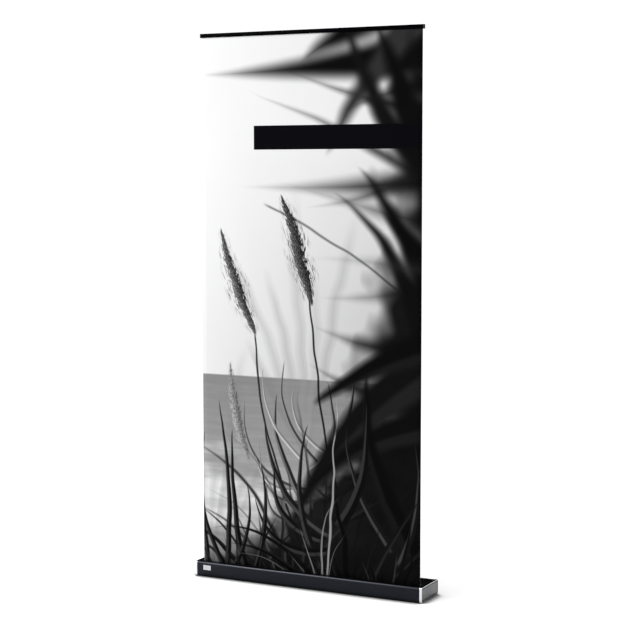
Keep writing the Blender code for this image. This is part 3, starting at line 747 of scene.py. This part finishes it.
# Back to front: thin and pale, then dark and sharp. The blades take the straight coordinate, which sways
# less
def drawGrass(picture, straight):
    picture.tuft(*rearTufts[0])
    shade = picture.film.noise(picture.film.join(picture.across * 6, picture.up * 5), 1.0, 3.0, 0.6)
    low = picture.across * 0.95 - picture.up - 0.16 + (shade - 0.5) * 0.5
    picture.lay((low / 0.2 + 0.5).clamped() * 0.94, 0.01 + shade * 0.10)
    picture.tuft(*rearTufts[1])
    swaying = picture.across
    picture.across = straight
    for blade in broadBlades:
        soft = blade[5]
        picture.leaf(*blade, fullness=0.75, fold=0.07 if soft > 0.01 else 0.16)
    picture.across = swaying
    for tuft in frontTufts:
        picture.tuft(*tuft)
    picture.stem(*dryStem)


# How far leaves and stems wander instead of running straight, as a share of the width
sway = {
    "farLeaves": 0.10,
    "reeds": 0.07,
    "grass": 0.13,
    "blades": 0.05,
}


def makePrintedFilm():
    film = Finish("printedFilm")
    place = film.place(nodes["rail_profile"])  # held to the rail, so the print sinks into the slot with it
    side, depth, height = film.split(place)
    width = sheetHigh.x - sheetLow.x
    across = (side - sheetLow.x) / width
    up = height - baseTop
    picture = Picture(film, across, up)
    drawShore(picture)
    wind = film.noise(film.join(across * 2.3 + 11, up * 2.6), 1.0, 2.0) - 0.5
    picture.across = across + wind * sway["farLeaves"]
    drawFarLeaves(picture)
    picture.across = across + wind * sway["reeds"]
    drawReeds(picture)
    picture.across = across + wind * sway["grass"]
    drawGrass(picture, across + wind * sway["blades"])
    inkGrain = film.noise(film.stretched((1400, 1400, 1400)), 1.0, 1.0)
    tone = (picture.tone + (inkGrain - 0.5) * 0.03).clamped() ** 2.2 * pictureTones["paper"]
    left, low, high = pictureTones["strip"]
    strip = (across > left) * (up > low) * (up < high)
    printed = film.mixColours(strip, film.join(tone, tone, tone * 1.005), colour(*pictureTones["stripInk"]))
    film.set(Base_Color=printed, Roughness=inkGrain * 0.1 + pictureTones["gloss"], Specular_IOR_Level=0.03)
    film.bump(inkGrain, 0.00003, 0.4)
    return film.material


blackProfile = makeBlackAnodised("blackAnodised", 0.017, 1.0)
blackRail = makeBlackAnodised("blackRail", 0.0015, 0.05)
chrome = makeChrome()
satinPanel = makeSatinPanel()
silverTube = makeTubeMetal("silverAnodised", silverLook)
millAluminium = makeRollerMetal()
zincSteel = makeSteel()
brass = makeBrass()
nylon = makePlastic("nylon", 0.06, 0.45, 500.0, 0.00003)
blackPlastic = makePlastic("blackPlastic", 0.016, 0.40, 1500.0, 0.00005)
rubber = makeRubber()
bristle = makeBristle()
printedFilm = makePrintedFilm()
filmBack = makeFilmBack()
print("finishes made")


# Mesh helpers

sharpAngle = math.radians(32)  # edges sharper than this are bevelled and stay crisp


def makeSmoothing():
    group = bpy.data.node_groups.new("smoothByAngle", "GeometryNodeTree")
    group.interface.new_socket("Geometry", in_out="INPUT", socket_type="NodeSocketGeometry")
    group.interface.new_socket("Geometry", in_out="OUTPUT", socket_type="NodeSocketGeometry")
    start = group.nodes.new("NodeGroupInput")
    end = group.nodes.new("NodeGroupOutput")
    faces = group.nodes.new("GeometryNodeSetShadeSmooth")
    edges = group.nodes.new("GeometryNodeSetShadeSmooth")
    edges.domain = "EDGE"
    edges.inputs["Shade Smooth"].default_value = False
    angle = group.nodes.new("GeometryNodeInputMeshEdgeAngle")
    sharp = group.nodes.new("FunctionNodeCompare")
    sharp.operation = "GREATER_THAN"
    sharp.inputs["B"].default_value = sharpAngle
    group.links.new(angle.outputs["Unsigned Angle"], sharp.inputs["A"])
    group.links.new(start.outputs[0], faces.inputs["Geometry"])
    group.links.new(faces.outputs[0], edges.inputs["Geometry"])
    group.links.new(sharp.outputs["Result"], edges.inputs["Selection"])
    group.links.new(edges.outputs[0], end.inputs[0])
    return group


smoothing = makeSmoothing()


# Softens the edges of a piece, then shades its round stretches smooth
def softenEdges(piece, width):
    if width:
        bevel = piece.modifiers.new("edges", "BEVEL")
        bevel.width = width
        bevel.segments = 2
        bevel.limit_method = "ANGLE"
        bevel.angle_limit = sharpAngle
    smooth = piece.modifiers.new("smooth", "NODES")
    smooth.node_group = smoothing


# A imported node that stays: welded, softened and given its finish
def dressNode(name, material, width):
    node = nodes[name]
    weld = node.modifiers.new("weld", "WELD")
    weld.merge_threshold = 0.000002
    softenEdges(node, width)
    for slot in node.material_slots:
        slot.link = "OBJECT"
        slot.material = material


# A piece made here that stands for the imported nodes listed
def addPiece(name, mesh, material, body, replaced):
    piece = bpy.data.objects.new(name, mesh)
    bpy.context.scene.collection.objects.link(piece)
    mesh.materials.append(material)
    softenEdges(piece, 0)
    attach(piece, body)
    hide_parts(*replaced)


def meshFrom(name, shape):
    bmesh.ops.recalc_face_normals(shape, faces=shape.faces)
    mesh = bpy.data.meshes.new(name)
    shape.to_mesh(mesh)
    shape.free()
    return mesh


# Joins rings of points with faces; each ring is a list of points that runs round the piece
def skinRings(shape, rings, closed, capped):
    loops = [[shape.verts.new(point) for point in ring] for ring in rings]
    pairs = list(zip(loops, loops[1:]))
    if closed:
        pairs.append((loops[-1], loops[0]))
    for first, second in pairs:
        count = len(first)
        for index in range(count):
            after = (index + 1) % count
            shape.faces.new((first[index], first[after], second[after], second[index]))
    if capped:
        shape.faces.new(loops[0][::-1])
        shape.faces.new(loops[-1])


# A piece turned about an upright axis: outline is (radius, height) all the way round its section, and
# shapeRadius may move a point in or out
def turnedMesh(name, outline, centre, steps, shapeRadius):
    shape = bmesh.new()
    rings = []
    for radius, height in outline:
        ring = []
        for step in range(steps):
            angle = 2 * math.pi * step / steps
            reach = shapeRadius(radius, height, angle)
            ring.append((centre[0] + reach * math.cos(angle), centre[1] + reach * math.sin(angle), height))
        rings.append(ring)
    skinRings(shape, rings, True, False)
    return meshFrom(name, shape)


# The sheet: a fine grid that hangs almost flat, with a slow ripple between the slot and the rail

sheetShape = {
    "across": 48,
    "up": 110,
    "ripple": 0.0005,
    "waves": ((9.0, 2.4, 0.6), (17.0, -5.0, 0.4)),  # radians across, radians up and strength
    "held": 0.3,  # the ripple dies out this near the slot and the rail
    "thickness": sheetHigh.y - sheetLow.y,
}


def makeSheet():
    shape = bmesh.new()
    columns = sheetShape["across"]
    rows = sheetShape["up"]
    grid = []
    for row in range(rows + 1):
        rise = row / rows
        height = sheetLow.z + (sheetHigh.z - sheetLow.z) * rise
        fromSlot = min(1, max(0, (height - baseTop) / sheetShape["held"]))
        fromRail = min(1, max(0, (railLow.z - height) / sheetShape["held"]))
        depth = fromSlot * fromRail * sheetShape["ripple"]
        line = []
        for column in range(columns + 1):
            share = column / columns
            wave = sum(math.sin(share * sideways + rise * upwards) * power
                       for sideways, upwards, power in sheetShape["waves"])
            place = sheetLow.x + (sheetHigh.x - sheetLow.x) * share
            line.append(shape.verts.new((place, sheetY + wave * depth, height)))
        grid.append(line)
    for lower, upper in zip(grid, grid[1:]):
        for column in range(columns):
            shape.faces.new((lower[column], lower[column + 1], upper[column + 1], upper[column]))
    mesh = bpy.data.meshes.new("banner_sheet")
    shape.to_mesh(mesh)
    shape.free()
    for face in mesh.polygons:
        face.use_smooth = True

    sheet = bpy.data.objects.new("banner_sheet", mesh)
    bpy.context.scene.collection.objects.link(sheet)
    mesh.materials.append(printedFilm)
    mesh.materials.append(filmBack)
    solid = sheet.modifiers.new("thickness", "SOLIDIFY")
    solid.thickness = sheetShape["thickness"]
    solid.offset = 0
    solid.material_offset = 1
    solid.material_offset_rim = 1
    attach(sheet, "base")
    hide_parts("graphic")

    # it is drawn out of the roller, but nothing here makes it shorten as the rail comes down: the share
    # worked out below is not used
    slide = [joint for joint in frame["joints"] if joint["name"] == "height_slide"][0]
    height = sheetHigh.z - rollerZ
    travel = slide["range_m"][1] - slide["range_m"][0]
    (height - travel) / height
    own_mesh(sheet)


makeSheet()
print("sheet made")


# The brushes that line the slot: a thin holder with a row of short tufts that lean towards the sheet

brushShape = {
    "pitch": 0.0016,
    "holder": 0.0011,
    "tuft": 0.0013,
    "wander": 0.0003,
    "shoulder": 0.0003,  # the holder's top is this far under the tufts
    "rootLow": 0.0004,
    "rootHigh": 0.0007,
    "tipDepth": 0.0014,
    "tipTaper": 0.7,
}


def makeBrush(name, side, seed):
    rng = random.Random(seed)
    low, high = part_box(name)
    root = low.y if side < 0 else high.y
    tip = high.y if side < 0 else low.y
    inner = root - side * brushShape["holder"]
    shoulder = high.z - brushShape["shoulder"]
    shape = bmesh.new()
    rings = []
    for place in (low.x, high.x):
        outline = [(root, low.z), (root, shoulder), (inner, shoulder), (inner, low.z)]
        rings.append([(place, y, z) for y, z in outline])
    skinRings(shape, rings, False, True)
    count = int((high.x - low.x) / brushShape["pitch"])
    half = brushShape["tuft"] / 2
    narrow = half * brushShape["tipTaper"]
    rootLow = low.z + brushShape["rootLow"]
    rootHigh = high.z - brushShape["rootHigh"]
    for index in range(count):
        middle = low.x + (index + 0.5) * (high.x - low.x) / count
        lean = rng.uniform(-1, 1) * brushShape["wander"]
        top = high.z - rng.uniform(0, brushShape["wander"])
        reach = tip + side * rng.uniform(0, brushShape["wander"])
        under = top - brushShape["tipDepth"]
        bent = middle + lean
        start = [(middle - half, inner, rootLow), (middle + half, inner, rootLow),
                 (middle + half, inner, rootHigh), (middle - half, inner, rootHigh)]
        end = [(bent - half, reach, under), (bent + half, reach, under),
               (bent + narrow, reach, top), (bent - narrow, reach, top)]
        skinRings(shape, [start, end], False, True)
    addPiece("bristles_" + name, meshFrom(name, shape), bristle, "base", [name])


makeBrush("slot_brush_front", -1, 11)
makeBrush("slot_brush_rear", 1, 12)
print("slot brushes made")


# Twist collars: ribbed grips with a plain band at each end

collarShape = {
    "ribs": 20,
    "depth": 0.0007,
    "steps": 160,
    "margin": 0.005,
    "edge": 0.0009,
    "clearance": 0.0003,
    "runOut": 0.002,  # length over which a rib fades at its ends
}


def makeCollar(name, tube, body, lowerTube):
    low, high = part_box(name)
    outer = (high.x - low.x) / 2
    tubeLow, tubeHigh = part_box(lowerTube)
    slideLow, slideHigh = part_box(tube)
    clearance = collarShape["clearance"]
    runOut = collarShape["runOut"]
    bore = (slideHigh.x - slideLow.x) / 2 + clearance
    wide = (tubeHigh.x - tubeLow.x) / 2 + clearance
    shoulder = tubeHigh.z + clearance
    edge = collarShape["edge"]
    margin = collarShape["margin"]
    gripLow = low.z + margin
    gripHigh = high.z - margin

    outline = [(bore, shoulder), (bore, high.z - edge / 2), (bore + edge / 2, high.z)]
    outline += [(outer - 2 * edge, high.z), (outer - edge / 2, high.z - edge), (outer, high.z - 2 * edge)]
    for step in range(9):
        outline.append((outer, gripHigh - (gripHigh - gripLow) * step / 8))
    outline += [(outer, low.z + edge), (outer - edge, low.z), (wide, low.z), (wide, shoulder)]

    def ribbed(radius, height, angle):
        if radius < outer or not gripLow - 0.0001 < height < gripHigh + 0.0001:
            return radius
        rise = min(1, (height - gripLow) / runOut + 0.02, (gripHigh - height) / runOut + 0.02)
        hollow = (0.5 - 0.5 * math.cos(angle * collarShape["ribs"])) ** 2
        return radius - collarShape["depth"] * rise * hollow

    mesh = turnedMesh(name, outline, (0, poleY), collarShape["steps"], ribbed)
    addPiece("grip_" + name, mesh, blackPlastic, body, [name])


makeCollar("twist_collar_lower", "pole_section_middle", "collar_lower", "pole_section_lower")
makeCollar("twist_collar_upper", "pole_section_upper", "collar_upper", "pole_section_middle")
print("collars made")


# The badge: a blank plate with a raised rim

badgeShape = {
    "rim": 0.0014,
    "sunk": 0.0002,
    "chamfer": 0.0001,
    "radius": 0.0015,
}


def roundedOutline(low, high, radius):
    points = []
    steps = 6
    corners = ((high[0] - radius, high[1] - radius), (low[0] + radius, high[1] - radius),
               (low[0] + radius, low[1] + radius), (high[0] - radius, low[1] + radius))
    for turn, corner in enumerate(corners):
        for step in range(steps + 1):
            angle = math.pi / 2 * (turn + step / steps)
            points.append((corner[0] + radius * math.cos(angle), corner[1] + radius * math.sin(angle)))
    return points


def makeBadge():
    low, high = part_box("badge_plate")
    rim = badgeShape["rim"]
    sunk = badgeShape["sunk"]
    chamfer = badgeShape["chamfer"]
    shape = bmesh.new()
    rings = []
    steps = ((0, high.y), (0, low.y + chamfer), (chamfer, low.y), (rim, low.y), (rim + sunk, low.y + sunk))
    for inset, depth in steps:
        outline = roundedOutline((low.x + inset, low.z + inset), (high.x - inset, high.z - inset),
                                 max(badgeShape["radius"] - inset, 0.0006))
        rings.append([(x, depth, z) for x, z in outline])
    skinRings(shape, rings, False, True)
    addPiece("badge", meshFrom("badge", shape), badgeMetal, "base", ["badge_plate"])


badgeMetal = makeTubeMetal("badgeMetal", badgeLook)
makeBadge()
print("badge made")


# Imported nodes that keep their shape

kept = {
    "base_profile": (blackProfile, 0.0004),
    "rail_profile": (blackRail, 0.0003),
    "end_cap_left": (chrome, 0.0006),
    "end_cap_right": (chrome, 0.0006),
    "end_panel_left": (satinPanel, 0.0004),
    "end_panel_right": (satinPanel, 0.0004),
    "roller_tube": (millAluminium, 0.0),
    "graphic_leader": (filmBack, 0.0),
    "pole_section_lower": (silverTube, 0.0003),
    "pole_section_middle": (silverTube, 0.0003),
    "pole_section_upper": (silverTube, 0.0003),
    "spring_shaft": (zincSteel, 0.0004),
    "torsion_spring": (zincSteel, 0.0),
    "axle_pin": (zincSteel, 0.0004),
    "bush_left": (brass, 0.0002),
    "bush_right": (brass, 0.0002),
    "pole_socket": (blackPlastic, 0.0004),
    "pole_foot_plug": (blackPlastic, 0.0003),
    "pole_head": (blackPlastic, 0.0006),
    "rail_clamp_strip": (blackPlastic, 0.0003),
    "rail_plug_left": (blackPlastic, 0.0005),
    "rail_plug_right": (blackPlastic, 0.0005),
    "rail_rest_pad": (rubber, 0.0003),
}


def dressKept():
    for name, (material, width) in kept.items():
        dressNode(name, material, width)
    for name in nodes:
        if name.startswith(("roller_bracket", "roller_plug", "lock_plug", "spring_anchor", "spring_driver")):
            dressNode(name, nylon, 0.0003)
        if name.startswith(("foot_pad", "panel_gasket")):
            dressNode(name, rubber, 0.0002)
        if name.startswith("cap_screw"):
            dressNode(name, zincSteel, 0.0002)


dressKept()
print("packed nodes dressed")
